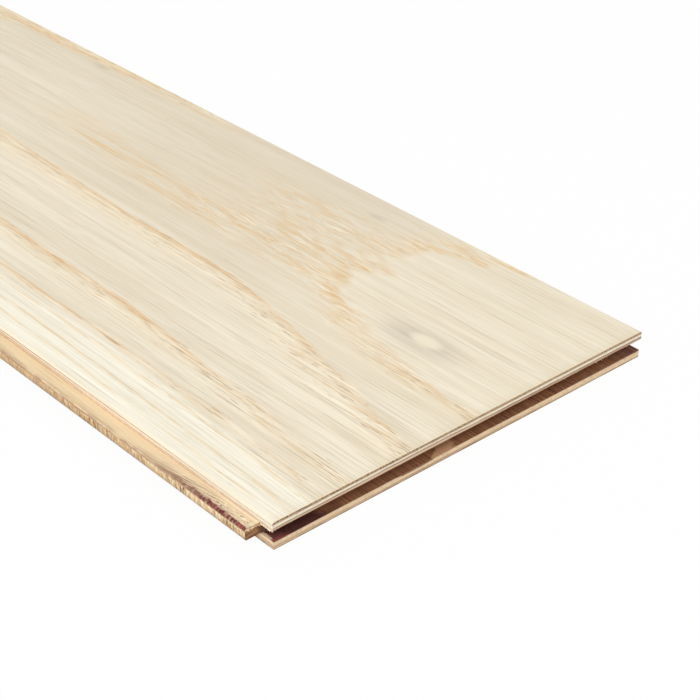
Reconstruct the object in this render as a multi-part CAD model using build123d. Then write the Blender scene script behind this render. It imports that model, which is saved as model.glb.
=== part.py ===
from build123d import *
import os

# Engineered hardwood plank: crossed plies under a hardwood face, milled with tongue and groove.
# It lies face up with its length along Y. The tongue is on the -X side and on the +Y end,
# the groove on the +X side and on the -Y end. Millimetres.
# The origin is on the underside, in the middle of the overall box, tongues included.

# Face that shows once the plank is laid
face_width = 190.0
face_length = 1900.0

# Plies above the tongue, from the face down
face_layer_thickness = 1.0
upper_long_ply_thickness = 1.5
upper_cross_ply_thickness = 1.2

# Plies that carry the tongue
middle_long_ply_thickness = 1.1
core_cross_ply_thickness = 3.9

# Plies below the tongue
lower_long_ply_thickness = 2.0
backing_ply_thickness = 1.3

# Tongue and groove, the same on the sides and on the ends
groove_depth = 7.0
tongue_end_gap = 0.5
tongue_play = 0.2
tongue_tip_chamfer = 0.4

# Bevels of the face's edges, and how far the lower lip stands back from them
side_bevel = 0.8
end_bevel = 0.2
side_relief = 0.5
end_relief = 0.2

# The stack from the underside up
plies = {
    "backing_ply": backing_ply_thickness,
    "lower_long_ply": lower_long_ply_thickness,
    "core_cross_ply": core_cross_ply_thickness,
    "middle_long_ply": middle_long_ply_thickness,
    "upper_cross_ply": upper_cross_ply_thickness,
    "upper_long_ply": upper_long_ply_thickness,
    "face_layer": face_layer_thickness,
}
thickness = sum(plies.values())

# The cutters follow the glue lines. The tongue bears on the upper lip, and its play is below it.
groove_floor = backing_ply_thickness + lower_long_ply_thickness
groove_top = groove_floor + core_cross_ply_thickness + middle_long_ply_thickness
tongue_bottom = groove_floor + tongue_play
tongue_projection = groove_depth - tongue_end_gap
overall_width = face_width + tongue_projection
overall_length = face_length + tongue_projection


def milled_section(face, bevel, relief):
    """Section across the plank: tongue on the left, groove on the right, overall box centred."""
    left = (tongue_projection - face) / 2
    right = left + face
    tip = left - tongue_projection
    lower_lip = [
        (left + relief, tongue_bottom),
        (left + relief, 0),
        (right - relief, 0),
        (right - relief, groove_floor),
    ]
    groove = [
        (right - groove_depth, groove_floor),
        (right - groove_depth, groove_top),
        (right, groove_top),
    ]
    face_edges = [
        (right, thickness - bevel),
        (right - bevel, thickness),
        (left + bevel, thickness),
        (left, thickness - bevel),
    ]
    tongue = [
        (left, groove_top),
        (tip + tongue_tip_chamfer, groove_top),
        (tip, groove_top - tongue_tip_chamfer),
        (tip, tongue_bottom + tongue_tip_chamfer),
        (tip + tongue_tip_chamfer, tongue_bottom),
    ]
    return make_face(Polyline(*lower_lip, *groove, *face_edges, *tongue, close=True))


def milled_plank():
    """The whole plank as the cutters leave it: first the long sides, then the ends."""
    side_section = Plane.XZ * milled_section(face_width, side_bevel, side_relief)
    end_section = Plane.YZ * mirror(milled_section(face_length, end_bevel, end_relief), Plane.YZ)
    along = extrude(side_section, overall_length / 2, both=True)
    across = extrude(end_section, overall_width / 2, both=True)
    return along & across


def ply_sheet(bottom, ply_thickness):
    """A ply before milling, as large as the plank's overall box."""
    return Pos(0, 0, bottom) * Box(
        overall_width,
        overall_length,
        ply_thickness,
        align=(Align.CENTER, Align.CENTER, Align.MIN),
    )


os.makedirs("parts", exist_ok=True)
plank = milled_plank()
level = 0
for node, ply_thickness in plies.items():
    ply = plank & ply_sheet(level, ply_thickness)
    export_step(ply, f"parts/{node}.step")
    level += ply_thickness
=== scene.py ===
import math
import random

import bmesh
import bpy
from mathutils import Euler, Matrix, Vector


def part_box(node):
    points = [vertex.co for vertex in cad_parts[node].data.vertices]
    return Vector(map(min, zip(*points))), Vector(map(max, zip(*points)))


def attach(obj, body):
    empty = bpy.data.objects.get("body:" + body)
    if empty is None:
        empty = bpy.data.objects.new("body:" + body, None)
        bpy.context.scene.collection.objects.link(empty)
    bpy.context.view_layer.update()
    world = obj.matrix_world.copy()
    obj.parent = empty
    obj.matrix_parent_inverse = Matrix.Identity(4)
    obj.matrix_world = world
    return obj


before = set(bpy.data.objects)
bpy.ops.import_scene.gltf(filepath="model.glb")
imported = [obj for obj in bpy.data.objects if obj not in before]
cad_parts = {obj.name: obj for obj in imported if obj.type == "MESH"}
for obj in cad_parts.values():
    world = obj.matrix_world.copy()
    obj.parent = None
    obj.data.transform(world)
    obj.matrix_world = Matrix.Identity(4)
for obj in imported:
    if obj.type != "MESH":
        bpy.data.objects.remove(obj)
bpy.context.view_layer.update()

# Places on the plank. Materials work in millimetres from the face's near corner on the tongue side:
# across runs from the tongue to the groove, along runs away from the grooved end, up from the underside.
MM = 0.001
FACE_LOW, FACE_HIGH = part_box("face_layer")
NEAR_CORNER = Vector((FACE_LOW.x, FACE_LOW.y, 0.0))
FACE_WIDTH = (FACE_HIGH.x - FACE_LOW.x) / MM
STACK = (
    "backing_ply",
    "lower_long_ply",
    "core_cross_ply",
    "middle_long_ply",
    "upper_cross_ply",
    "upper_long_ply",
    "face_layer",
)
PLY_TOP = {node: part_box(node)[1].z / MM for node in STACK}
GROOVE_FLOOR = PLY_TOP["lower_long_ply"]
LIP_UNDERSIDE = PLY_TOP["middle_long_ply"]
CORE_TOP = PLY_TOP["core_cross_ply"]
GROOVE_DEPTH = (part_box("core_cross_ply")[0].y - FACE_LOW.y) / MM
TONGUE_WIDTH = (FACE_LOW.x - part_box("core_cross_ply")[0].x) / MM
TONGUE_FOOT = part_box("core_cross_ply")[0].z / MM


def srgb(red, green, blue):
    """A colour given as it shows on screen, 0 to 255, for a colour socket."""
    def linear(value):
        value /= 255.0
        return value / 12.92 if value <= 0.04045 else ((value + 0.055) / 1.055) ** 2.4
    return (linear(red), linear(green), linear(blue), 1.0)


# Colours of the oak face
OAK_CREAM = srgb(250, 240, 219)
OAK_FIBRE = srgb(211, 196, 165)
OAK_HAIR = srgb(174, 158, 134)
OAK_HONEY = srgb(234, 211, 171)
OAK_GREY = srgb(226, 214, 193)
OAK_SAPWOOD = srgb(254, 250, 234)
OAK_STRAND = srgb(218, 182, 132)
OAK_FLAME = srgb(224, 192, 144)
OAK_PALE = srgb(255, 247, 224)
OAK_LINE = srgb(218, 170, 110)
OAK_GOLD = srgb(228, 193, 130)
OAK_PORE = srgb(166, 130, 90)
OAK_END = srgb(116, 86, 56)
OAK_END_LIGHT = srgb(182, 152, 116)
KNOT_GREY = srgb(196, 184, 166)
KNOT_HEART = srgb(240, 230, 204)

# Colours of the plies and of what the cutters left on them
PALE_VENEER = srgb(252, 243, 222)
PINK_VENEER = srgb(244, 219, 192)
BROWN_VENEER = srgb(206, 178, 146)
DULL_VENEER = srgb(186, 152, 120)
TAN_VENEER = srgb(239, 215, 176)
CORE_VENEER = srgb(236, 204, 156)
LOWER_VENEER = srgb(234, 208, 173)
BACK_VENEER = srgb(206, 177, 147)
VESSEL = srgb(112, 76, 46)
GLUE = srgb(118, 82, 58)
GLUE_STAIN = srgb(96, 34, 36)
GLUE_STAIN_LIGHT = srgb(150, 82, 76)
TONGUE_LINE = srgb(140, 96, 74)
SIDE_LINE = srgb(180, 140, 106)
SMUDGE = srgb(158, 130, 100)
DULL_CORE = srgb(192, 146, 98)
BOTTOM_EDGE_DARK = srgb(112, 90, 68)
TOOL_MARK = srgb(124, 92, 70)
STAIN_HAZE = srgb(146, 100, 88)
RUBBED_TAN = srgb(230, 207, 174)
BURN_DARK = srgb(94, 54, 36)
BURN_LIGHT = srgb(150, 106, 74)
BURN_RED = srgb(78, 32, 26)
# Painted light: a lighter brown laid over the back of the groove floor, under the lip
BURN_PAINTED_LIGHT = srgb(178, 122, 86)
BURN_WORN = srgb(192, 150, 114)
BURN_STAIN = srgb(70, 32, 32)
BURN_WALL = srgb(74, 44, 32)
TORN_FIBRE = srgb(252, 240, 214)


class Graph:
    """Short ways to add nodes to one shader tree."""

    def __init__(self, tree):
        self.tree = tree

    def node(self, kind):
        return self.tree.nodes.new(kind)

    def feed(self, socket, value):
        """Links a socket to another one, or gives it a plain value."""
        if isinstance(value, bpy.types.NodeSocket):
            self.tree.links.new(value, socket)
        else:
            socket.default_value = value

    def math(self, operation, first, second=0.0):
        """One Math node."""
        made = self.node("ShaderNodeMath")
        made.operation = operation
        self.feed(made.inputs[0], first)
        self.feed(made.inputs[1], second)
        return made.outputs[0]

    def times(self, first, *others):
        """Values multiplied together."""
        for other in others:
            first = self.math("MULTIPLY", first, other)
        return first

    def plus(self, first, *others):
        """Values added together."""
        for other in others:
            first = self.math("ADD", first, other)
        return first

    def minus(self, first, second):
        return self.math("SUBTRACT", first, second)

    def larger(self, first, second):
        return self.math("MAXIMUM", first, second)

    def size(self, value):
        """A value without its sign."""
        return self.math("ABSOLUTE", value)

    def ramp(self, value, start, end, low=0.0, high=1.0, smooth=True):
        """A step of value, from low at start to high at end."""
        made = self.node("ShaderNodeMapRange")
        made.interpolation_type = "SMOOTHSTEP" if smooth else "LINEAR"
        self.feed(made.inputs["Value"], value)
        self.feed(made.inputs["From Min"], start)
        self.feed(made.inputs["From Max"], end)
        self.feed(made.inputs["To Min"], low)
        self.feed(made.inputs["To Max"], high)
        return made.outputs["Result"]

    def blend(self, factor, first, second):
        """One colour laid over another."""
        made = self.node("ShaderNodeMix")
        made.data_type = "RGBA"
        self.feed(made.inputs[0], factor)
        self.feed(made.inputs[6], first)
        self.feed(made.inputs[7], second)
        return made.outputs[2]

    def noise(self, place, cell, detail=2.0, seed=0.0):
        """Noise from 0 to 1 whose cells measure so many millimetres across, along and up."""
        moved = self.node("ShaderNodeVectorMath")
        moved.operation = "MULTIPLY_ADD"
        self.feed(moved.inputs[0], place)
        moved.inputs[1].default_value = [1.0 / side for side in cell]
        moved.inputs[2].default_value = (seed * 7.3, seed * 3.7, seed * 5.1)
        made = self.node("ShaderNodeTexNoise")
        made.inputs["Scale"].default_value = 1.0
        made.inputs["Detail"].default_value = detail
        self.feed(made.inputs["Vector"], moved.outputs[0])
        return made.outputs["Fac"]

    def patches(self, place, cell, start, end, low=0.0, high=1.0, detail=3.0, seed=0.0):
        """Noise cut into patches, low below start and high above end."""
        return self.ramp(self.noise(place, cell, detail, seed), start, end, low, high)

    def swing(self, place, cell, reach, detail=2.0, seed=0.0):
        """Noise from about minus reach to reach."""
        return self.times(self.minus(self.noise(place, cell, detail, seed), 0.5), 4.0 * reach)

    def split(self, vector):
        """A vector's three parts, each as a value."""
        made = self.node("ShaderNodeSeparateXYZ")
        self.feed(made.inputs[0], vector)
        return made.outputs[0], made.outputs[1], made.outputs[2]

    def join(self, across, along, up):
        """A vector from its three parts."""
        made = self.node("ShaderNodeCombineXYZ")
        for socket, value in zip(made.inputs, (across, along, up)):
            self.feed(socket, value)
        return made.outputs[0]

    def use(self, group, **inputs):
        """Places a group in the tree and returns its outputs by name."""
        made = self.node("ShaderNodeGroup")
        made.node_tree = group
        for label, value in inputs.items():
            self.feed(made.inputs[label], value)
        return made.outputs


def on_end(g, ahead):
    """1 on surfaces that face either end."""
    return g.ramp(g.size(ahead), 0.6, 0.8)


def faces_back(g, part):
    """1 on surfaces that face against a direction: the tongue side or the near end."""
    return g.ramp(part, -0.8, -0.6, 1.0, 0.0)


def stands_upright(g, upward):
    """1 on cut edges, 0 on a ply's flat faces."""
    return g.ramp(g.size(upward), 0.3, 0.6, 1.0, 0.0)


VALUE = "NodeSocketFloat"
VECTOR = "NodeSocketVector"
COLOUR = "NodeSocketColor"


def new_group(name, inputs, outputs):
    """An empty shader group with its sockets, given as name and kind."""
    tree = bpy.data.node_groups.new(name, "ShaderNodeTree")
    for label, kind in inputs.items():
        tree.interface.new_socket(label, in_out="INPUT", socket_type=kind)
    for label, kind in outputs.items():
        tree.interface.new_socket(label, in_out="OUTPUT", socket_type=kind)
    g = Graph(tree)
    return g, g.node("NodeGroupInput").outputs, g.node("NodeGroupOutput").inputs


# The figure of the flat-sawn oak face. Growth rings are steps of a radius, kept squared, about a heart
# line under the plank. The rings lean over near the end, and the inner one closes into an arch.
HEART_LINE = 143.5
# Each ring's radius on the near end, how far its pores spread out from it, and how strong it is
RINGS = (
    (79.5, 1900.0, 1.0),
    (108.5, 1500.0, 1.0),
    (120.5, 800.0, 0.9),
    (126.5, 450.0, 0.95),
    (134.5, 400.0, 0.95),
    (140.5, 350.0, 0.8),
    (150.0, 700.0, 0.8),
    (156.0, 400.0, 0.6),
)
# In squared radius: how soft a ring's edge is, how far its line reaches, and the late wood inside it
RING_EDGE = 70.0
RING_LINE = 380.0
LATE_WOOD = 2000.0
# From this radius on the rings lie in the pale strip beside the tongue, with an even line
STRIP_RING = 125.0
STRIP_LINE = 0.75
# How the rings lean over: within a length from the near end, and slowly again farther on
LEAN_LENGTH = 160.0
LEAN_POWER = 1.8
LEAN = 4000.0
FAR_START = 220.0
FAR_LEAN = 4.5
# The arch: its middle line, half its width, its height, how squarely it closes, and in squared radius
# the softness of its edge, the reach of its pores and the notch in its crown
ARCH_LINE = 146.0
ARCH_HALF = 47.0
ARCH_HEIGHT = 117.0
ARCH_POWER = 2.3
ARCH_EDGE = 220.0
ARCH_SPREAD = 1500.0
ARCH_NOTCH = 620.0
# The squared radius where the sapwood starts, and the middle lines of other marks
SAPWOOD = 15600.0
CROWN_LINE = 141.0
TRAIL_LINE = 126.0
EDGE_BAND = 184.0


def ring_radius(g, place, across, along):
    """Squared radius of the outer rings."""
    aside = g.minus(across, HEART_LINE)
    left = g.ramp(along, 0.0, LEAN_LENGTH, 1.0, 0.0, smooth=False)
    lean = g.times(g.minus(1.0, g.math("POWER", left, LEAN_POWER)), LEAN)
    beyond = g.larger(g.minus(along, FAR_START), 0.0)
    lean = g.plus(lean, g.times(beyond, FAR_LEAN))
    lean = g.times(lean, g.ramp(g.size(aside), 75.0, 118.0, 1.0, 0.35))
    wild = g.times(g.swing(place, (26.0, 90.0, 40.0), 500.0), g.ramp(along, 240.0, 500.0))
    return g.plus(g.times(aside, aside), lean, wild)


def arch_radius(g, place, across, along):
    """Squared radius of the inner ring, which closes into an arch with a notched crown."""
    aside = g.minus(across, ARCH_LINE)
    rise = g.math("POWER", g.math("DIVIDE", g.larger(along, 0.0), ARCH_HEIGHT), ARCH_POWER)
    notch = g.ramp(g.size(aside), 0.0, 11.0, ARCH_NOTCH, 0.0)
    notch = g.times(notch, g.ramp(along, 70.0, 105.0))
    uneven = g.swing(place, (6.0, 16.0, 9.0), 300.0)
    return g.plus(g.times(aside, aside), g.times(rise, ARCH_HALF * ARCH_HALF), notch, uneven)


def crown_field(g, across, along):
    """The field of pores that trails off behind the arch."""
    aside = g.size(g.minus(across, CROWN_LINE))
    field = g.times(g.ramp(aside, 20.0, 34.0, 0.85, 0.0), g.ramp(along, 140.0, 255.0, 1.0, 0.0))
    aside = g.size(g.minus(across, g.ramp(along, 200.0, 330.0, TRAIL_LINE - 3.0, TRAIL_LINE + 7.0)))
    trail = g.times(g.ramp(aside, 4.0, 13.0, 0.9, 0.0), g.ramp(along, 305.0, 350.0, 1.0, 0.0))
    trail = g.times(trail, g.ramp(along, 130.0, 200.0))
    return g.larger(field, trail)


def add_rings(g, figure, radius, drawn, along):
    """Each ring: pores spreading out from its edge, a line drawn along it and late wood inside it."""
    spread = g.ramp(along, 50.0, 150.0, 1.5, 0.9)
    broken = g.times(g.ramp(along, 60.0, 150.0, 0.25, 0.85), g.ramp(along, 190.0, 330.0, 1.0, 0.3))
    for ring, reach, strength in RINGS:
        edge = ring * ring
        start, end = edge - RING_EDGE, edge + RING_EDGE
        pores = g.ramp(radius, edge, g.plus(g.times(spread, reach), edge), 1.0, 0.0)
        pores = g.times(g.ramp(radius, start, end, 0.0, strength), pores)
        figure["Early"] = g.plus(pores, figure["Early"])
        line = g.ramp(drawn, edge, edge + RING_LINE, 1.0, 0.0)
        line = g.times(g.ramp(drawn, start, end, 0.0, strength), line)
        line = g.times(line, broken if ring < STRIP_RING else STRIP_LINE)
        figure["Line"] = g.plus(line, figure["Line"])
        late = g.ramp(radius, edge - LATE_WOOD, edge - 100.0, 0.0, 0.6)
        late = g.times(g.ramp(radius, start, end, 1.0, 0.0), late)
        figure["Late"] = g.plus(late, figure["Late"])


def add_arch(g, figure, arch, frayed, along):
    """The arch of the inner ring and the crown behind it; gives what lies outside the arch."""
    edge = ARCH_HALF * ARCH_HALF
    outside = g.ramp(arch, edge - ARCH_EDGE, edge + ARCH_EDGE)
    fade = g.ramp(along, 20.0, 90.0, edge + 0.7 * ARCH_SPREAD, edge + ARCH_SPREAD)
    pores = g.times(outside, g.ramp(arch, edge, fade, 1.0, 0.0))
    line = g.times(outside, g.ramp(arch, edge, edge + 2.0 * RING_LINE, 0.26, 0.0))
    crown = g.times(outside, crown_field(g, frayed, along))
    figure["Early"] = g.plus(g.times(pores, g.ramp(along, 30.0, 80.0, 0.95, 0.4)), figure["Early"])
    figure["Line"] = g.plus(line, figure["Line"])
    figure["Crown"] = g.larger(crown, g.times(pores, g.ramp(along, 30.0, 80.0, 0.4, 1.15)))
    return outside


def add_edge_band(g, figure, frayed, along):
    """One more porous band, beside the edge over the groove."""
    band = g.times(g.ramp(along, 225.0, 290.0), g.ramp(along, 430.0, 480.0, 1.0, 0.0))
    pores = g.ramp(frayed, EDGE_BAND - 2.0, EDGE_BAND, 0.0, 0.55)
    line = g.ramp(g.size(g.minus(frayed, EDGE_BAND)), 0.3, 2.2, 0.4, 0.0)
    figure["Early"] = g.plus(g.times(band, pores), figure["Early"])
    figure["Line"] = g.plus(g.times(band, line), figure["Line"])


def add_grey_wood(g, figure, radius, outside, frayed, along):
    """Greyer wood behind the arch, towards the groove and in a strip between two rings."""
    ring = RINGS[0][0] ** 2
    within = g.ramp(radius, ring - 300.0, ring, 1.0, 0.0)
    behind = g.times(g.ramp(along, 70.0, 160.0, 0.15, 0.9), g.ramp(along, 230.0, 350.0, 1.0, 0.55))
    late = g.larger(figure["Late"], g.times(outside, within, behind))
    by_groove = g.times(g.ramp(frayed, 90.0, 185.0, 0.0, 0.3), g.ramp(along, 10.0, 70.0, 0.2, 1.0))
    strip = g.times(g.ramp(frayed, 48.0, 57.0), g.ramp(frayed, 82.0, 92.0, 1.0, 0.0))
    strip = g.times(strip, g.ramp(along, 60.0, 160.0, 0.0, 0.35))
    figure["Late"] = g.plus(late, by_groove, strip)


def make_oak_figure():
    """Where the face is porous, lined, streaked, grey or white."""
    g, given, put = new_group(
        "oak_figure",
        {"Place": VECTOR},
        {"Early": VALUE, "Line": VALUE, "Crown": VALUE, "Late": VALUE, "Sapwood": VALUE},
    )
    place = given["Place"]
    across, along, _ = g.split(place)
    across = g.plus(across, g.swing(place, (60.0, 170.0, 90.0), 1.2, 1.0))
    wavering = g.plus(across, g.swing(place, (2.5, 18.0, 9.0), 0.5))
    fingers = g.times(g.swing(place, (0.9, 26.0, 9.0), 3.0, 3.0), g.ramp(along, 70.0, 190.0, 1.0, 0.35))
    frayed = g.plus(across, fingers)
    radius = ring_radius(g, place, frayed, along)
    arch = arch_radius(g, place, g.plus(across, g.times(fingers, 0.4)), along)
    figure = {"Early": 0.0, "Line": 0.0, "Late": 0.0}
    add_rings(g, figure, radius, ring_radius(g, place, wavering, along), along)
    outside = add_arch(g, figure, arch, frayed, along)
    add_edge_band(g, figure, frayed, along)
    add_grey_wood(g, figure, radius, outside, frayed, along)
    figure["Sapwood"] = g.ramp(radius, SAPWOOD - 300.0, SAPWOOD + 500.0)
    for label, value in figure.items():
        g.feed(put[label], value)
    return g.tree


def make_oak_strands():
    """Porous wood as filaments along the grain: tan ones, pale ones between them, and open pores."""
    g, given, put = new_group(
        "oak_strands",
        {"Place": VECTOR, "Early": VALUE},
        {"Strand": VALUE, "Pale": VALUE, "Pore": VALUE},
    )
    place = given["Place"]
    early = g.plus(given["Early"], g.swing(place, (5.0, 16.0, 9.0), 0.18, 2.0, 20.0))
    start = g.ramp(early, 0.0, 1.0, 0.7, 0.45, smooth=False)
    strand = g.noise(place, (1.1, 26.0, 6.0), 3.0, 1.0)
    g.feed(put["Strand"], g.ramp(strand, start, g.plus(start, 0.1)))
    pale = g.patches(place, (0.9, 22.0, 6.0), 0.5, 0.62, seed=22.0)
    g.feed(put["Pale"], g.times(pale, g.ramp(early, 0.1, 0.6)))
    start = g.ramp(early, 0.0, 1.0, 0.75, 0.57, smooth=False)
    pore = g.noise(place, (0.55, 11.0, 3.0), 2.0, 2.0)
    g.feed(put["Pore"], g.ramp(pore, start, g.plus(start, 0.07)))
    return g.tree


def make_fibre(name, cell):
    """Fine straight fibres in cells of a size, and the dark vessels among them."""
    g, given, put = new_group(name, {"Place": VECTOR}, {"Streak": VALUE, "Vessel": VALUE})
    streak = g.noise(given["Place"], cell, 3.0)
    g.feed(put["Streak"], g.ramp(streak, 0.3, 0.7, smooth=False))
    vessel = g.noise(given["Place"], [0.8 * side for side in cell], 1.0, 2.0)
    g.feed(put["Vessel"], g.ramp(vessel, 0.58, 0.7))
    return g.tree


# The stack of plies, as it shows on the edges, where each glue line wanders off its level. Half a line's
# height, how strongly it shows and how strongly glue has soaked into the wood beside it.
GLUE_HALF = {"upper_cross_ply": 0.3, "upper_long_ply": 0.42}
THIN_GLUE = 0.16
GLUE_SHARE = {"lower_long_ply": 0.3}
SOAK = {"lower_long_ply": 0.1}
USUAL_SOAK = 0.3
PLY_COLOUR = {
    "backing_ply": BACK_VENEER,
    "lower_long_ply": LOWER_VENEER,
    "core_cross_ply": CORE_VENEER,
    "middle_long_ply": TAN_VENEER,
    "upper_cross_ply": PINK_VENEER,
    "upper_long_ply": PALE_VENEER,
    "face_layer": OAK_CREAM,
}


def glue_levels(g, place, across, along):
    """Height of the line under each ply but the lowest."""
    level = {ply: PLY_TOP[below] for below, ply in zip(STACK, STACK[1:])}
    sag = g.plus(
        g.swing(place, (45.0, 45.0, 900.0), 0.14),
        g.ramp(across, 0.0, 60.0, 0.2, -0.05),
        g.ramp(across, 100.0, 170.0, 0.0, -0.6),
    )
    level["lower_long_ply"] = g.plus(sag, level["lower_long_ply"])
    sag = g.swing(place, (30.0, 50.0, 900.0), 0.12)
    level["middle_long_ply"] = g.plus(sag, level["middle_long_ply"])
    climb = g.plus(
        g.ramp(across, 0.0, 65.0, -0.25, 0.2),
        g.ramp(across, 70.0, 105.0, 0.0, -0.3),
        g.ramp(across, 120.0, 180.0, 0.0, -0.1),
        g.ramp(along, 30.0, 260.0, 0.0, 0.4),
        g.swing(place, (60.0, 80.0, 900.0), 0.12),
    )
    level["upper_long_ply"] = g.plus(climb, level["upper_long_ply"])
    oak = g.plus(g.swing(place, (40.0, 60.0, 900.0), 0.08), -0.2)
    level["face_layer"] = g.plus(oak, level["face_layer"])
    return level


def make_ply_stack():
    """Wood colour of whichever ply lies at a place, and the glue lines between the plies."""
    g, given, put = new_group(
        "ply_stack", {"Place": VECTOR}, {"Wood": COLOUR, "Glue": VALUE, "Oak": VALUE, "Low": VALUE}
    )
    place = given["Place"]
    across, along, up = g.split(place)
    up = g.plus(up, g.swing(place, (3.0, 3.0, 60.0), 0.07, 3.0, 3.0))
    wood = PLY_COLOUR[STACK[0]]
    glue = 0.0
    levels = glue_levels(g, place, across, along)
    for ply, level in levels.items():
        above = g.minus(up, level)
        over = g.ramp(above, -0.08, 0.08)
        wood = g.blend(over, wood, PLY_COLOUR[ply])
        near = g.ramp(g.size(above), 0.08, GLUE_HALF.get(ply, THIN_GLUE), GLUE_SHARE.get(ply, 1.0), 0.0)
        soak = g.ramp(g.size(above), 0.0, 0.8, SOAK.get(ply, USUAL_SOAK), 0.0)
        glue = g.larger(g.larger(near, soak), glue)
    patchy = g.patches(place, (16.0, 16.0, 8.0), 0.35, 0.6, 0.6, 1.0, seed=4.0)
    g.feed(put["Wood"], wood)
    g.feed(put["Glue"], g.times(glue, patchy))
    g.feed(put["Oak"], over)
    g.feed(put["Low"], g.ramp(g.minus(levels["upper_long_ply"], up), 0.05, 0.15))
    return g.tree


def darker(g, colour, value, saturation):
    """A colour deepened."""
    made = g.node("ShaderNodeHueSaturation")
    made.inputs["Value"].default_value = value
    made.inputs["Saturation"].default_value = saturation
    g.feed(made.inputs["Color"], colour)
    return made.outputs[0]


# How far inside a face its ply is looked up, clear of the ply next to it
INSIDE = 0.35


def make_veneer():
    """A bare ply: vessels along its grain, with layers, mottling and glue lines on its cut edges."""
    g, given, put = new_group(
        "veneer",
        {"Place": VECTOR, "Normal": VECTOR, "Streak": VALUE, "Vessel": VALUE, "Vessels": VALUE},
        {"Wood": COLOUR, "Glue": VALUE, "Height": VALUE, "Roughness": VALUE},
    )
    place = given["Place"]
    _, ahead, upward = g.split(given["Normal"])
    inside = g.node("ShaderNodeVectorMath")
    inside.operation = "MULTIPLY_ADD"
    g.feed(inside.inputs[0], given["Normal"])
    inside.inputs[1].default_value = (-INSIDE, -INSIDE, -INSIDE)
    g.feed(inside.inputs[2], place)
    stack = g.use(ply_stack, Place=inside.outputs[0])
    upright = stands_upright(g, upward)
    shade = darker(g, stack["Wood"], 0.76, 1.12)
    layers = g.patches(place, (30.0, 30.0, 0.7), 0.35, 0.7, 0.0, 0.5, seed=8.0)
    wood = g.blend(g.times(layers, upright), stack["Wood"], shade)
    mottle = g.patches(place, (2.2, 2.2, 0.8), 0.42, 0.68, 0.0, 0.6, seed=19.0)
    wood = g.blend(g.times(mottle, upright), wood, shade)
    grit = g.patches(place, (0.9, 0.9, 0.5), 0.5, 0.64, 0.0, 0.45, seed=40.0)
    wood = g.blend(g.times(grit, upright), wood, shade)
    wood = g.blend(g.times(given["Streak"], 0.32), wood, shade)
    wood = g.blend(g.times(given["Vessel"], given["Vessels"]), wood, VESSEL)
    seen = g.ramp(on_end(g, ahead), 0.0, 1.0, 0.4, 0.85, smooth=False)
    g.feed(put["Wood"], wood)
    g.feed(put["Glue"], g.times(stack["Glue"], upright, seen))
    g.feed(put["Height"], g.minus(g.times(given["Streak"], 0.4), given["Vessel"]))
    g.feed(put["Roughness"], g.ramp(given["Streak"], 0.0, 1.0, 0.66, 0.88))
    return g.tree


# Height of the upper seam on the lip's long sides, away from the near end
UPPER_SEAM = PLY_TOP["upper_long_ply"] - 0.15


def make_lip_seam():
    """The lip's plies: brown under the glue on the ends, pink on the long sides between the upper glue
    seam and a brown line along the lip's foot.
    """
    g, given, put = new_group(
        "lip_seam", {"Place": VECTOR, "Normal": VECTOR, "Wood": COLOUR}, {"Wood": COLOUR}
    )
    place = given["Place"]
    across, along, up = g.split(place)
    _, ahead, _ = g.split(given["Normal"])
    end = on_end(g, ahead)
    side = g.minus(1.0, end)
    stack = g.use(ply_stack, Place=place)
    patch = g.patches(place, (9.0, 9.0, 0.7), 0.32, 0.68, 0.65, 1.0, seed=18.0)
    brown = g.blend(g.ramp(across, 85.0, 110.0), BROWN_VENEER, DULL_VENEER)
    wood = g.blend(g.times(end, 0.12), given["Wood"], BROWN_VENEER)
    wood = g.blend(g.times(end, patch, stack["Low"]), wood, brown)
    wood = g.blend(g.times(end, stack["Oak"], 0.85), wood, OAK_END_LIGHT)
    wood = g.blend(g.times(side, g.ramp(along, 20.0, 110.0, 0.05, 0.4)), wood, PINK_VENEER)
    wood = g.blend(g.times(side, g.ramp(along, 110.0, 180.0, 0.0, 0.3)), wood, BROWN_VENEER)
    # A brown line along the foot of the lip's long sides, in the corner over the tongue, then the upper
    # glue seam
    side_lines = g.ramp(up, LIP_UNDERSIDE, LIP_UNDERSIDE + 0.4, 0.85, 0.0)
    upper = g.ramp(along, 20.0, 165.0, UPPER_SEAM - 0.5, UPPER_SEAM, smooth=False)
    upper = g.size(g.minus(up, upper))
    upper = g.times(g.ramp(upper, 0.1, 0.4, 0.65, 0.0), g.ramp(along, 10.0, 80.0, 0.3, 1.0))
    side_lines = g.larger(side_lines, upper)
    side_lines = g.times(side_lines, g.patches(place, (9.0, 14.0, 9.0), 0.3, 0.55, 0.35, 1.0, seed=23.0))
    g.feed(put["Wood"], g.blend(g.times(side_lines, side), wood, SIDE_LINE))
    return g.tree


def make_tongue_line():
    """The dark glue line along the upper outer edge of the side tongue."""
    g, given, put = new_group(
        "tongue_line", {"Place": VECTOR, "Normal": VECTOR, "Wood": COLOUR}, {"Wood": COLOUR}
    )
    place = given["Place"]
    across, along, up = g.split(place)
    aside, _, upward = g.split(given["Normal"])
    height = g.plus(up, g.swing(place, (9.0, 4.0, 30.0), 0.2, 3.0, 32.0))
    line = g.ramp(g.size(g.minus(height, CORE_TOP + 0.55)), 0.1, 0.65, 0.7, 0.0)
    line = g.times(line, g.ramp(aside, -0.6, -0.4, 1.0, 0.0))
    rim = g.ramp(g.plus(across, TONGUE_WIDTH), 0.2, 1.4, 0.5, 0.0)
    line = g.larger(line, g.times(rim, g.ramp(upward, 0.8, 0.9)))
    line = g.times(line, g.patches(place, (9.0, 7.0, 30.0), 0.32, 0.55, 0.35, 1.0, seed=33.0))
    line = g.times(line, g.ramp(along, 30.0, 75.0, 0.15, 1.0))
    g.feed(put["Wood"], g.blend(line, given["Wood"], TONGUE_LINE))
    return g.tree


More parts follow.
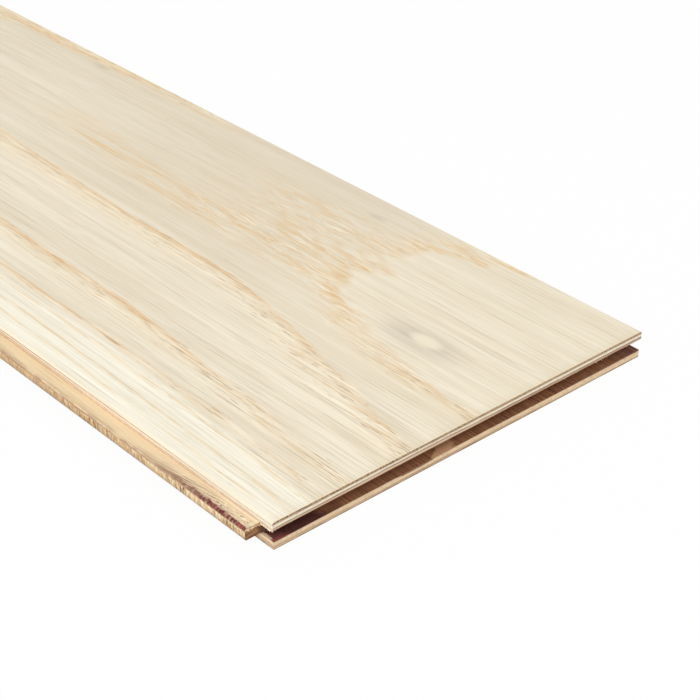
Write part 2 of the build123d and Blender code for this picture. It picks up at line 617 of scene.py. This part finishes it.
def make_cutter_burn():
    """Brown cutter burn on the back of the grooves, and on the tongue's sawn end in line with it."""
    g, given, put = new_group(
        "cutter_burn", {"Place": VECTOR, "Normal": VECTOR, "Wood": COLOUR}, {"Wood": COLOUR}
    )
    place = given["Place"]
    across, along, up = g.split(place)
    aside, ahead, _ = g.split(given["Normal"])
    near_end = g.times(faces_back(g, ahead), g.ramp(along, 20.0, 30.0, 1.0, 0.0))
    groove_side = g.times(g.ramp(aside, 0.6, 0.8), g.ramp(across, 100.0, 120.0))
    back = g.larger(near_end, groove_side)
    burnt = g.blend(g.patches(place, (1.6, 1.6, 9.0), 0.38, 0.62, seed=12.0), BURN_WALL, BURN_DARK)
    bare = g.patches(place, (5.0, 2.0, 0.7), 0.46, 0.58, 0.0, 0.85, seed=24.0)
    bare = g.times(bare, g.ramp(across, -1.5, 0.5, 1.0, 0.0))
    burnt = g.blend(bare, burnt, BURN_LIGHT)
    burnt = g.blend(g.ramp(across, -0.3, 0.8, 0.0, 0.85), burnt, BURN_STAIN)
    top = g.times(g.ramp(up, CORE_TOP - 0.2, CORE_TOP + 0.1), g.ramp(across, -1.0, 0.2, 0.8, 0.0))
    g.feed(put["Wood"], g.blend(g.times(back, g.minus(0.92, top)), given["Wood"], burnt))
    return g.tree


oak_figure = make_oak_figure()
oak_strands = make_oak_strands()
long_fibre = make_fibre("long_fibre", (0.8, 36.0, 0.9))
cross_fibre = make_fibre("cross_fibre", (60.0, 0.9, 3.0))
ply_stack = make_ply_stack()
veneer = make_veneer()
lip_seam = make_lip_seam()
tongue_line = make_tongue_line()
cutter_burn = make_cutter_burn()


# Finishes
MATT_SPECULAR = 0.25
RELIEF_DEPTH = 0.1


def new_finish(name):
    """A material with its graph and shader, the place on the plank in millimetres, and the normal."""
    material = bpy.data.materials.new(name)
    material.use_nodes = True
    g = Graph(material.node_tree)
    shader = g.tree.nodes["Principled BSDF"]
    shader.inputs["Specular IOR Level"].default_value = MATT_SPECULAR
    place = g.node("ShaderNodeMapping")
    place.inputs["Location"].default_value = -NEAR_CORNER / MM
    place.inputs["Scale"].default_value = (1.0 / MM, 1.0 / MM, 1.0 / MM)
    g.feed(place.inputs["Vector"], g.node("ShaderNodeTexCoord").outputs["Object"])
    normal = g.node("ShaderNodeNewGeometry").outputs["True Normal"]
    return material, g, shader, place.outputs[0], normal


def relief(g, shader, height):
    """Raises the surface by height times the depth of the wood's relief."""
    bump = g.node("ShaderNodeBump")
    bump.inputs["Strength"].default_value = 1.0
    bump.inputs["Distance"].default_value = RELIEF_DEPTH * MM
    g.feed(bump.inputs["Height"], height)
    g.feed(shader.inputs["Normal"], bump.outputs[0])


def oval(g, across, along, centre, half_width, half_length):
    """Distance from a centre, 1 on an oval round it."""
    aside = g.math("DIVIDE", g.minus(across, centre[0]), half_width)
    off = g.math("DIVIDE", g.minus(along, centre[1]), half_length)
    return g.math("SQRT", g.plus(g.times(aside, aside), g.times(off, off)))


# Places on the face, across and along
KNOT = (120.0, 51.0)
HALO = (119.0, 52.0)
GREY_SPOTS = ((176.0, 142.0), (181.5, 363.0))


def add_knot(g, across, along, wood, fibre):
    """A small pale knot with a grey halo drawn out along the grain, and two grey spots."""
    halo = g.ramp(oval(g, across, along, HALO, 12.5, 33.0), 0.1, 1.0, 0.75, 0.0)
    halo = g.times(halo, g.ramp(fibre, 0.0, 1.0, 0.6, 1.0))
    wood = g.blend(halo, wood, KNOT_GREY)
    for spot in GREY_SPOTS:
        stain = g.ramp(oval(g, across, along, spot, 3.0, 9.0), 0.1, 1.0, 0.45, 0.0)
        wood = g.blend(stain, wood, KNOT_GREY)
    heart = g.ramp(oval(g, across, along, KNOT, 5.0, 11.0), 0.4, 1.0, 0.85, 0.0)
    return g.blend(heart, wood, KNOT_HEART)


def oak_ground(g, place, figure, fibre):
    """Plain oak between the rings: cream, greyer in the late wood, with fibres and fine hairlines."""
    across, along, _ = g.split(place)
    coarse = g.patches(place, (4.5, 230.0, 30.0), 0.35, 0.65, 0.0, 0.26, 2.0, 5.0)
    bright = g.patches(place, (6.0, 160.0, 30.0), 0.5, 0.66, 0.0, 0.4, 2.0, 46.0)
    tone = g.patches(place, (40.0, 420.0, 90.0), 0.35, 0.65, 0.0, 0.2, 2.0, 6.0)
    wood = g.blend(tone, OAK_CREAM, OAK_GREY)
    wood = g.blend(g.times(figure["Late"], 0.75), wood, OAK_GREY)
    wood = g.blend(g.times(figure["Sapwood"], 0.95), wood, OAK_SAPWOOD)
    wood = g.blend(coarse, wood, OAK_FIBRE)
    wood = g.blend(g.times(bright, g.ramp(across, 30.0, 60.0, 1.0, 0.2)), wood, OAK_SAPWOOD)
    rough = g.times(g.ramp(along, 40.0, 150.0, 1.0, 0.72), g.ramp(across, 60.0, 120.0, 1.0, 0.72))
    rough = g.times(rough, g.ramp(figure["Sapwood"], 0.0, 1.0, 1.0, 0.85))
    wood = g.blend(g.times(fibre, rough, 0.5), wood, OAK_FIBRE)
    wood = g.blend(g.ramp(across, 60.0, 120.0, 0.0, 0.09), wood, OAK_FIBRE)
    hairs = g.patches(place, (0.5, 40.0, 9.0), 0.57, 0.67, 0.0, 0.4, 2.0, 21.0)
    return g.blend(g.times(hairs, rough), wood, OAK_HAIR)


def oak_rings(g, place, figure, wood):
    """Rings and crown laid over the plain oak as strands, lines and pores; also gives the pores."""
    across, along, up = g.split(place)
    wavy = g.join(g.plus(across, g.swing(place, (8.0, 20.0, 9.0), 1.2, 1.0, 38.0)), along, up)
    dense = g.patches(place, (8.0, 28.0, 30.0), 0.38, 0.6, 0.45, 1.1, seed=39.0)
    crown = g.times(figure["Crown"], dense)
    trail = g.times(crown, g.ramp(along, 170.0, 250.0))
    plumes = g.patches(place, (2.4, 45.0, 9.0), 0.4, 0.62, detail=4.0, seed=42.0)
    wood = g.blend(g.times(plumes, trail, 0.7), wood, OAK_FLAME)
    crown = g.minus(crown, g.times(trail, 0.8))
    flames = g.patches(wavy, (1.9, 24.0, 9.0), 0.42, 0.6, detail=4.0, seed=25.0)
    wood = g.blend(g.times(flames, crown, 0.8), wood, OAK_FLAME)
    flecks = g.patches(wavy, (0.9, 16.0, 9.0), 0.52, 0.64, seed=35.0)
    wood = g.blend(g.times(flecks, crown, 0.5), wood, OAK_PALE)
    scribble = g.patches(wavy, (0.75, 10.0, 9.0), 0.54, 0.64, seed=36.0)
    wood = g.blend(g.times(scribble, crown, 0.65), wood, OAK_STRAND)
    early = g.plus(figure["Early"], g.times(figure["Crown"], 0.15))
    strands = g.use(oak_strands, Place=place, Early=early)
    quiet = g.ramp(figure["Sapwood"], 0.0, 1.0, 1.0, 0.3)
    soft = g.ramp(along, 80.0, 300.0, 0.24, 0.5)
    wood = g.blend(g.times(figure["Early"], soft), wood, OAK_HONEY)
    crisp = g.ramp(along, 150.0, 320.0, 0.42, 0.28)
    wood = g.blend(g.times(strands["Strand"], quiet, crisp), wood, OAK_STRAND)
    wood = g.blend(g.times(strands["Pale"], 0.4), wood, OAK_PALE)
    lined = g.patches(place, (1.3, 20.0, 9.0), 0.36, 0.56, 0.2, 1.0, seed=26.0)
    gold = g.blend(figure["Sapwood"], OAK_LINE, OAK_GOLD)
    wood = g.blend(g.times(figure["Line"], lined, 0.72), wood, gold)
    dark = g.times(strands["Pore"], quiet, g.ramp(along, 60.0, 240.0, 0.6, 0.3))
    dark = g.times(dark, g.ramp(figure["Crown"], 0.0, 1.0, 1.0, 0.45))
    return g.blend(dark, wood, OAK_PORE), strands["Pore"]


def finish_oak_face():
    """Pale matt oak: figure, pores and fibres on the face, brown end grain on the ends."""
    material, g, shader, place, normal = new_finish("oak_face")
    across, along, _ = g.split(place)
    _, ahead, upward = g.split(normal)
    figure = g.use(oak_figure, Place=place)
    fibre = g.use(long_fibre, Place=place)["Streak"]
    wood = oak_ground(g, place, figure, fibre)
    wood, pores = oak_rings(g, place, figure, wood)
    wood = add_knot(g, across, along, wood, fibre)
    # Painted shade: the face's eased edges are darkened, damping the highlight they catch
    wood = g.blend(g.ramp(upward, 0.8, 0.95, 0.35, 0.0), wood, OAK_FIBRE)
    wood = g.blend(g.ramp(along, 0.0, 5.0, 0.2, 0.0), wood, OAK_FIBRE)
    speckle = g.patches(place, (1.0, 1.0, 0.7), 0.38, 0.62, seed=7.0)
    speckle = g.plus(speckle, g.ramp(across, 20.0, FACE_WIDTH, 0.0, 0.5))
    end_grain = g.blend(speckle, OAK_END, OAK_END_LIGHT)
    stack = g.use(ply_stack, Place=place)
    end = on_end(g, ahead)
    cut = g.blend(g.times(end, stack["Oak"]), stack["Wood"], end_grain)
    side = g.blend(g.times(fibre, 0.2), OAK_CREAM, OAK_FIBRE)
    cut = g.blend(g.minus(1.0, end), cut, side)
    edge = g.ramp(upward, 0.3, 0.5, 1.0, 0.0)
    g.feed(shader.inputs["Base Color"], g.blend(edge, wood, cut))
    g.feed(shader.inputs["Roughness"], g.plus(g.times(fibre, 0.12), g.times(pores, 0.2), 0.5))
    relief(g, shader, g.minus(g.times(fibre, 0.35), g.times(pores, 0.8)))
    return material


def finish_veneer(name, fibre_group, vessels, add_marks):
    """One ply: its bare wood, the marks of the cutters on it and the glue lines on its edges."""
    material, g, shader, place, normal = new_finish(name)
    fibre = g.use(fibre_group, Place=place)
    bare = g.use(
        veneer,
        Place=place,
        Normal=normal,
        Streak=fibre["Streak"],
        Vessel=fibre["Vessel"],
        Vessels=vessels,
    )
    wood = add_marks(g, place, normal, bare["Wood"])
    g.feed(shader.inputs["Base Color"], g.blend(bare["Glue"], wood, GLUE))
    g.feed(shader.inputs["Roughness"], bare["Roughness"])
    relief(g, shader, bare["Height"])
    return material


def mark_lip(g, place, normal, wood):
    """The seams and the brown ends of the top lip."""
    return g.use(lip_seam, Place=place, Normal=normal, Wood=wood)["Wood"]


# The glue stain on the tongue: its width, and where along it tapers and ends. The scraping: where
# along it ends, and how it slants.
STAIN_WIDTH = 2.0
STAIN_TAPER = 36.0
STAIN_END = 70.0
SCRAPED_END = 62.0
SCRAPE_SLANT = 0.16


def scrape_tongue(g, place, askew, reach, on_top, wood):
    """Top of the side tongue: rubbed, scraped and broken towards the near end, dirty at its edge."""
    _, along, _ = g.split(place)
    worked = g.ramp(along, SCRAPED_END - 20.0, SCRAPED_END + 25.0, 0.55, 0.0)
    wood = g.blend(g.times(worked, on_top), wood, RUBBED_TAN)
    scrape = g.patches(askew, (0.55, 13.0, 3.0), 0.47, 0.6, seed=10.0)
    scrape = g.times(scrape, g.ramp(reach, 2.6, 6.0, 0.75, 0.0))
    scrape = g.times(scrape, g.ramp(along, SCRAPED_END - 22.0, SCRAPED_END + 8.0, 1.0, 0.0))
    scrape = g.times(scrape, g.ramp(along, 14.0, 36.0, 0.45, 1.0))
    wood = g.blend(g.times(scrape, on_top), wood, TOOL_MARK)
    chipped = g.times(g.ramp(reach, 1.6, 2.4), g.ramp(reach, 4.0, 5.2, 1.0, 0.0), on_top)
    chipped = g.times(chipped, g.ramp(along, 22.0, 40.0, 1.0, 0.0))
    flecks = g.patches(askew, (0.8, 2.2, 5.0), 0.52, 0.62, 0.0, 0.6, seed=43.0)
    wood = g.blend(g.times(flecks, chipped), wood, TORN_FIBRE)
    flecks = g.patches(askew, (0.5, 2.0, 5.0), 0.55, 0.63, 0.0, 0.75, seed=44.0)
    wood = g.blend(g.times(flecks, chipped), wood, TOOL_MARK)
    dirty = g.patches(place, (4.0, 26.0, 5.0), 0.4, 0.65, 0.0, 0.35, seed=27.0)
    dirty = g.times(dirty, g.ramp(reach, 0.5, 4.2, 1.0, 0.0))
    wood = g.blend(g.times(dirty, on_top), wood, SMUDGE)
    fringe = g.times(g.ramp(reach, 5.2, 6.1, 0.0, 0.6), g.ramp(along, 12.0, 45.0, 1.0, 0.0))
    return g.blend(g.times(fringe, on_top), wood, TORN_FIBRE)


def stain_tongue(g, place, askew, reach, on_top, outer, wood):
    """Dark glue along the outer edge of the tongue's top, hazy where it was scraped."""
    _, along, _ = g.split(place)
    width = g.ramp(along, STAIN_TAPER, STAIN_END, STAIN_WIDTH, 0.1, smooth=False)
    width = g.minus(width, g.ramp(along, 14.0, 34.0, 0.45, 0.0))
    ragged = g.plus(reach, g.swing(askew, (2.4, 3.0, 5.0), 0.5, 4.0, 9.0))
    over = g.minus(ragged, width)
    haze = g.patches(askew, (0.5, 9.0, 5.0), 0.46, 0.6, 0.05, 1.0, seed=28.0)
    haze = g.times(haze, g.ramp(over, -0.4, 1.6, 0.4, 0.0))
    haze = g.times(haze, g.ramp(along, SCRAPED_END - 14.0, STAIN_END, 1.0, 0.0))
    wood = g.blend(g.times(haze, on_top), wood, STAIN_HAZE)
    stain = g.ramp(over, -0.6, 0.1, 1.0, 0.0)
    stain = g.times(stain, g.ramp(along, STAIN_TAPER - 16.0, STAIN_END, 1.0, 0.1))
    stain = g.times(stain, g.patches(place, (2.4, 1.1, 5.0), 0.34, 0.5, 0.55, 1.0, 4.0, 17.0))
    tint = g.patches(place, (2.0, 1.2, 5.0), 0.45, 0.66, seed=29.0)
    tint = g.blend(tint, GLUE_STAIN, GLUE_STAIN_LIGHT)
    return g.blend(g.times(stain, g.larger(on_top, outer)), wood, tint)


def mark_tongue(g, place, normal, wood):
    """The ply on top of the side tongue: scraped and stained towards the near end, with a dark line."""
    across, along, up = g.split(place)
    aside, _, upward = g.split(normal)
    on_top = g.ramp(upward, 0.3, 0.5)
    down = g.plus(up, g.swing(place, (5.0, 0.9, 30.0), 0.15, 2.0, 41.0))
    outer = g.times(faces_back(g, aside), g.ramp(down, CORE_TOP, CORE_TOP + 0.3))
    reach = g.plus(across, TONGUE_WIDTH)
    askew = g.join(g.plus(across, g.times(along, SCRAPE_SLANT)), along, up)
    wood = scrape_tongue(g, place, askew, reach, on_top, wood)
    wood = stain_tongue(g, place, askew, reach, on_top, outer, wood)
    wood = g.use(tongue_line, Place=place, Normal=normal, Wood=wood)["Wood"]
    return g.use(cutter_burn, Place=place, Normal=normal, Wood=wood)["Wood"]


def mark_core(g, place, normal, wood):
    """Front of the side tongue: torn end grain with upright vessels, a dark line and a dull foot."""
    _, along, up = g.split(place)
    aside, _, _ = g.split(normal)
    front = faces_back(g, aside)
    dull = g.ramp(along, 40.0, 110.0, 0.0, 0.45)
    wood = g.blend(g.times(dull, front), wood, DULL_CORE)
    lit = g.patches(place, (9.0, 0.8, 3.0), 0.5, 0.6, seed=30.0)
    lit = g.times(lit, g.ramp(along, 40.0, 110.0, 0.75, 0.3))
    wood = g.blend(g.times(lit, front), wood, TORN_FIBRE)
    torn = g.patches(place, (9.0, 0.75, 3.2), 0.53, 0.59, 0.0, 0.9, seed=11.0)
    torn = g.times(torn, g.ramp(along, 90.0, 130.0, 1.0, 0.55))
    torn = g.times(torn, g.patches(place, (9.0, 11.0, 30.0), 0.35, 0.55, 0.35, 1.0, seed=31.0))
    wood = g.blend(g.times(torn, front), wood, VESSEL)
    foot = g.ramp(up, TONGUE_FOOT, CORE_TOP - 0.4, 0.75, 0.0)
    wood = g.blend(g.times(foot, front), wood, SMUDGE)
    wood = g.use(tongue_line, Place=place, Normal=normal, Wood=wood)["Wood"]
    return g.use(cutter_burn, Place=place, Normal=normal, Wood=wood)["Wood"]


# Places across the near end: where the burn spills over the lower lip, and the patch worn through it
LIP_CHIP = 67.0
WORN_START = 77.0
WORN_END = 90.0


def groove_burn(g, place, across, along):
    """Colours of the burnt groove floor: darkest by the tongue, worn through in one patch, with painted
    light towards the back against the shade under the lip.
    """
    streaks = g.patches(place, (0.8, 40.0, 4.0), 0.3, 0.7, detail=4.0, seed=13.0)
    burnt = g.blend(streaks, BURN_DARK, BURN_LIGHT)
    # Painted light: the floor lightens towards the back of the groove, against the shade that falls
    # under the lip
    burnt = g.blend(g.ramp(along, 0.5, GROOVE_DEPTH, 0.05, 0.52), burnt, BURN_PAINTED_LIGHT)
    red = g.patches(place, (1.2, 12.0, 9.0), 0.54, 0.66, 0.0, 0.75, seed=34.0)
    burnt = g.blend(g.times(red, g.ramp(across, 88.0, 112.0, 0.15, 0.8)), burnt, BURN_RED)
    ragged = g.plus(across, g.swing(place, (6.0, 4.0, 9.0), 3.0, 4.0, 14.0))
    start = g.ramp(along, 0.5, 5.0, WORN_START - 3.0, WORN_START + 2.0)
    worn = g.times(
        g.ramp(g.minus(ragged, start), 0.0, 2.5), g.ramp(ragged, WORN_END - 4.0, WORN_END, 1.0, 0.0)
    )
    burnt = g.blend(g.times(worn, 0.85), burnt, BURN_WORN)
    slant = g.plus(ragged, g.times(along, 1.6))
    burnt = g.blend(g.ramp(slant, 24.0, 33.0, 0.92, 0.0), burnt, BURN_STAIN)
    burnt = g.blend(g.ramp(ragged, 174.0, 186.0, 0.0, 0.55), burnt, BURN_STAIN)
    burnt = g.blend(g.ramp(slant, 5.0, 11.0, 0.65, 0.0), burnt, GLUE_STAIN_LIGHT)
    lifted = g.plus(across, g.swing(place, (1.5, 1.5, 9.0), 0.4, 3.0, 45.0))
    lifted = g.times(g.ramp(lifted, 1.2, 2.0, 0.8, 0.0), g.ramp(along, 1.0, 3.0))
    return g.blend(lifted, burnt, RUBBED_TAN), ragged


def mark_floor(g, place, normal, wood):
    """Cutter burn on the floor of the grooves, spilling over the lower lip's edge in places."""
    across, along, up = g.split(place)
    _, ahead, upward = g.split(normal)
    in_end = g.ramp(along, GROOVE_DEPTH + 0.2, GROOVE_DEPTH + 0.3, 1.0, 0.0)
    side_wall = FACE_WIDTH - GROOVE_DEPTH
    in_side = g.ramp(across, side_wall - 0.3, side_wall - 0.2)
    floor = g.times(g.larger(in_end, in_side), g.ramp(upward, 0.5, 0.7))
    burnt, ragged = groove_burn(g, place, across, along)
    wood = g.blend(floor, wood, burnt)
    off_chip = g.size(g.minus(ragged, LIP_CHIP))
    spill = g.plus(up, g.ramp(off_chip, 5.0, 12.0, 0.62, 0.0), g.ramp(across, 100.0, 175.0, 0.24, 0.6))
    spill = g.plus(spill, g.swing(place, (2.0, 2.0, 9.0), 0.1, 3.0, 37.0))
    front = g.times(faces_back(g, ahead), g.ramp(spill, GROOVE_FLOOR, GROOVE_FLOOR + 0.1))
    return g.blend(g.times(front, 0.8), wood, BURN_DARK)


def mark_backing(g, place, normal, wood):
    """Darker in patches along the backing's lowest edge."""
    _, _, up = g.split(place)
    _, _, upward = g.split(normal)
    upright = stands_upright(g, upward)
    low = g.plus(up, g.swing(place, (9.0, 9.0, 9.0), 0.45, 3.0, 16.0))
    bottom_edge = g.times(g.ramp(low, 0.15, 0.6, 0.8, 0.0), upright)
    return g.blend(bottom_edge, wood, BOTTOM_EDGE_DARK)


# Each ply's finish: the run of its fibres, how strongly its vessels show, and its marks
FINISHES = {
    "face_layer": finish_oak_face(),
    "upper_long_ply": finish_veneer("upper_long_veneer", long_fibre, 0.1, mark_lip),
    "upper_cross_ply": finish_veneer("upper_cross_veneer", cross_fibre, 0.15, mark_lip),
    "middle_long_ply": finish_veneer("middle_long_veneer", long_fibre, 0.08, mark_tongue),
    "core_cross_ply": finish_veneer("core_cross_veneer", cross_fibre, 0.4, mark_core),
    "lower_long_ply": finish_veneer("lower_long_veneer", long_fibre, 0.15, mark_floor),
    "backing_ply": finish_veneer("backing_veneer", cross_fibre, 0.2, mark_backing),
}
for node, finish in FINISHES.items():
    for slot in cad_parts[node].material_slots:
        slot.material = finish


# Torn wood under the lip and on the tongue, where the end cutter broke out
def finish_torn_wood(name, light, dark):
    """Bare broken wood."""
    material, g, shader, place, _ = new_finish(name)
    shade = g.patches(place, (1.0, 1.0, 1.0), 0.3, 0.7)
    g.feed(shader.inputs["Base Color"], g.blend(shade, light, dark))
    g.feed(shader.inputs["Roughness"], g.ramp(shade, 0.0, 1.0, 0.7, 0.9))
    return material


def add_splinter(shape, root, turn, length, thickness):
    """One splinter from a root on the plank, along the upward direction turned."""
    stand = Matrix.Translation((0.0, 0.0, 0.5 * length * MM))
    bmesh.ops.create_cone(
        shape,
        cap_ends=True,
        segments=4,
        radius1=0.5 * thickness * MM,
        radius2=0.1 * thickness * MM,
        depth=length * MM,
        matrix=Matrix.Translation(NEAR_CORNER + root * MM) @ turn.to_matrix().to_4x4() @ stand,
    )


def add_fringe(shape, draw, count, across, along, length, thickness):
    """Splinters hanging from the lip's underside, with each measure drawn from its range."""
    for _ in range(count):
        root = Vector((draw.uniform(*across), draw.uniform(*along), LIP_UNDERSIDE))
        turn = Euler((math.pi + draw.uniform(-0.1, 0.7), draw.uniform(-0.5, 0.5), 0.0))
        add_splinter(shape, root, turn, draw.uniform(*length), draw.uniform(*thickness))


def add_piece(name, shape, finish):
    """Makes a loose piece of the plank from a shape, with the given finish, attached to the root body.
    """
    mesh = bpy.data.meshes.new(name)
    shape.to_mesh(mesh)
    shape.free()
    piece = bpy.data.objects.new(name, mesh)
    bpy.context.collection.objects.link(piece)
    mesh.materials.append(finish)
    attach(piece, "root")


torn_fibre = finish_torn_wood("torn_fibre", TORN_FIBRE, TAN_VENEER)
torn_end = finish_torn_wood("torn_end", RUBBED_TAN, DULL_CORE)

# Splinters along the lip's edge: their number, then the ranges of their places across and along, of
# their length and of their thickness
FRINGES = (
    (120, (0.05, 0.7), (0.3, GROOVE_DEPTH - 0.2), (0.3, 1.0), (0.2, 0.5)),
    (30, (0.2, 9.2), (0.3, 0.6), (0.2, 0.6), (0.15, 0.35)),
    (50, (0.2, FACE_WIDTH - 0.2), (0.25, 0.5), (0.1, 0.45), (0.1, 0.3)),
    (90, (120.0, FACE_WIDTH - 0.3), (0.3, 0.6), (0.3, 0.8), (0.2, 0.5)),
    (18, (132.0, FACE_WIDTH - 4.0), (0.35, 0.8), (0.7, 1.5), (0.35, 0.6)),
)
TONGUE_SPLINTERS = 34
TORN_ROOT = Vector((1.3, 6.2, 1.1))
TORN_ROOT_CUTS = 9


def make_torn_fibres():
    """Splinters along the lip's edge on the near end, thickest where the tongue was cut away."""
    draw = random.Random(7)
    shape = bmesh.new()
    for fringe in FRINGES:
        add_fringe(shape, draw, *fringe)
    add_piece("torn_fibres", shape, torn_fibre)


def make_torn_tongue():
    """Splinters standing out of the tongue's sawn end, along its top."""
    draw = random.Random(11)
    shape = bmesh.new()
    for _ in range(TONGUE_SPLINTERS):
        across = draw.uniform(1.1 - TONGUE_WIDTH, -0.2)
        root = Vector((across, GROOVE_DEPTH, LIP_UNDERSIDE - draw.uniform(0.2, 1.0)))
        turn = Euler((0.5 * math.pi + draw.uniform(-0.3, 0.4), draw.uniform(-0.3, 0.3), 0.0))
        add_splinter(shape, root, turn, draw.uniform(0.25, 0.9), draw.uniform(0.25, 0.55))
    add_piece("torn_tongue", shape, torn_end)


def make_torn_root():
    """The ragged stub left under the lip where the tongue was sawn back from the near end."""
    draw = random.Random(3)
    shape = bmesh.new()
    bmesh.ops.create_cube(shape, size=1.0)
    bmesh.ops.subdivide_edges(shape, edges=shape.edges, cuts=TORN_ROOT_CUTS, use_grid_fill=True)
    for corner in shape.verts:
        hang = 0.5 - corner.co.z
        corner.co.z += hang * draw.uniform(0.0, 0.75) + hang * 0.3 * (0.5 - corner.co.y)
        corner.co.x += hang * draw.uniform(-0.1, 0.3)
    middle = Vector((0.02, GROOVE_DEPTH, LIP_UNDERSIDE)) + 0.5 * Vector((1.0, -1.0, -1.0)) * TORN_ROOT
    bmesh.ops.scale(shape, verts=shape.verts, vec=TORN_ROOT * MM)
    bmesh.ops.translate(shape, verts=shape.verts, vec=NEAR_CORNER + middle * MM)
    add_piece("torn_root", shape, torn_fibre)


make_torn_fibres()
make_torn_tongue()
make_torn_root()


# Stage: pale floor, soft light and the camera
WHITE = (1.0, 1.0, 1.0, 1.0)
FLOOR_GREY = (0.85, 0.85, 0.85, 1.0)
FLOOR_HALF = 30.0
FLOOR_GAP = 0.0002
FLOOR_GLOW = 0.95
ROOM_LIGHT = 0.7
LAMP_PLACE = Vector((-2.7, -2.7, 2.4))
LAMP_TARGET = Vector((0.0, -0.7, 0.0))
LAMP_SIZE = 2.4
LAMP_POWER = 105.0
CAMERA_FROM_CORNER = Vector((-0.30243, -0.38333, 0.38386))
CAMERA_YAW = math.radians(41.3665)
CAMERA_PITCH = math.radians(31.8476)
CAMERA_LENS = 92.602
CAMERA_SENSOR = 36.0
CAMERA_NEAREST = 0.01


def seen_directly(g):
    """1 for the rays that show the surroundings themselves, 0 for those that light the plank."""
    rays = g.node("ShaderNodeLightPath").outputs
    return g.larger(g.larger(rays["Is Camera Ray"], rays["Is Glossy Ray"]), rays["Is Transmission Ray"])


def lay_floor():
    """A white floor that keeps a soft shadow."""
    mesh = bpy.data.meshes.new("floor")
    shape = bmesh.new()
    bmesh.ops.create_grid(shape, x_segments=1, y_segments=1, size=FLOOR_HALF)
    bmesh.ops.translate(shape, verts=shape.verts, vec=(0.0, 0.0, -FLOOR_GAP))
    shape.to_mesh(mesh)
    shape.free()
    floor = bpy.data.objects.new("floor", mesh)
    bpy.context.collection.objects.link(floor)
    material = bpy.data.materials.new("white_floor")
    material.use_nodes = True
    g = Graph(material.node_tree)
    g.tree.nodes.clear()
    matt = g.node("ShaderNodeBsdfDiffuse")
    matt.inputs["Color"].default_value = FLOOR_GREY
    glow = g.node("ShaderNodeEmission")
    both = g.node("ShaderNodeMixShader")
    g.feed(both.inputs[0], g.times(seen_directly(g), FLOOR_GLOW))
    g.feed(both.inputs[1], matt.outputs[0])
    g.feed(both.inputs[2], glow.outputs[0])
    g.feed(g.node("ShaderNodeOutputMaterial").inputs["Surface"], both.outputs[0])
    mesh.materials.append(material)


def light_room():
    """Even white surroundings, seen as plain white."""
    world = bpy.data.worlds.new("studio")
    bpy.context.scene.world = world
    world.use_nodes = True
    g = Graph(world.node_tree)
    background = g.tree.nodes["Background"]
    background.inputs["Color"].default_value = WHITE
    g.feed(background.inputs["Strength"], g.ramp(seen_directly(g), 0.0, 1.0, ROOM_LIGHT, 1.0))


def hang_lamp():
    """A large soft lamp aimed at the plank."""
    lamp = bpy.data.lights.new("key", "AREA")
    lamp.size = LAMP_SIZE
    lamp.energy = LAMP_POWER
    holder = bpy.data.objects.new("key", lamp)
    bpy.context.collection.objects.link(holder)
    holder.location = LAMP_PLACE
    holder.rotation_euler = (LAMP_TARGET - LAMP_PLACE).to_track_quat("-Z", "Y").to_euler()


def set_camera():
    """The photograph's view of the near end."""
    camera = bpy.data.objects.new("camera", bpy.data.cameras.new("camera"))
    camera.data.lens = CAMERA_LENS
    camera.data.sensor_width = CAMERA_SENSOR
    camera.data.clip_start = CAMERA_NEAREST
    camera.location = NEAR_CORNER + CAMERA_FROM_CORNER
    camera.rotation_euler = (math.pi / 2 - CAMERA_PITCH, 0.0, -CAMERA_YAW)
    bpy.context.collection.objects.link(camera)
    bpy.context.scene.camera = camera


lay_floor()
light_room()
hang_lamp()
set_camera()
bpy.context.scene.view_settings.view_transform = "Standard"
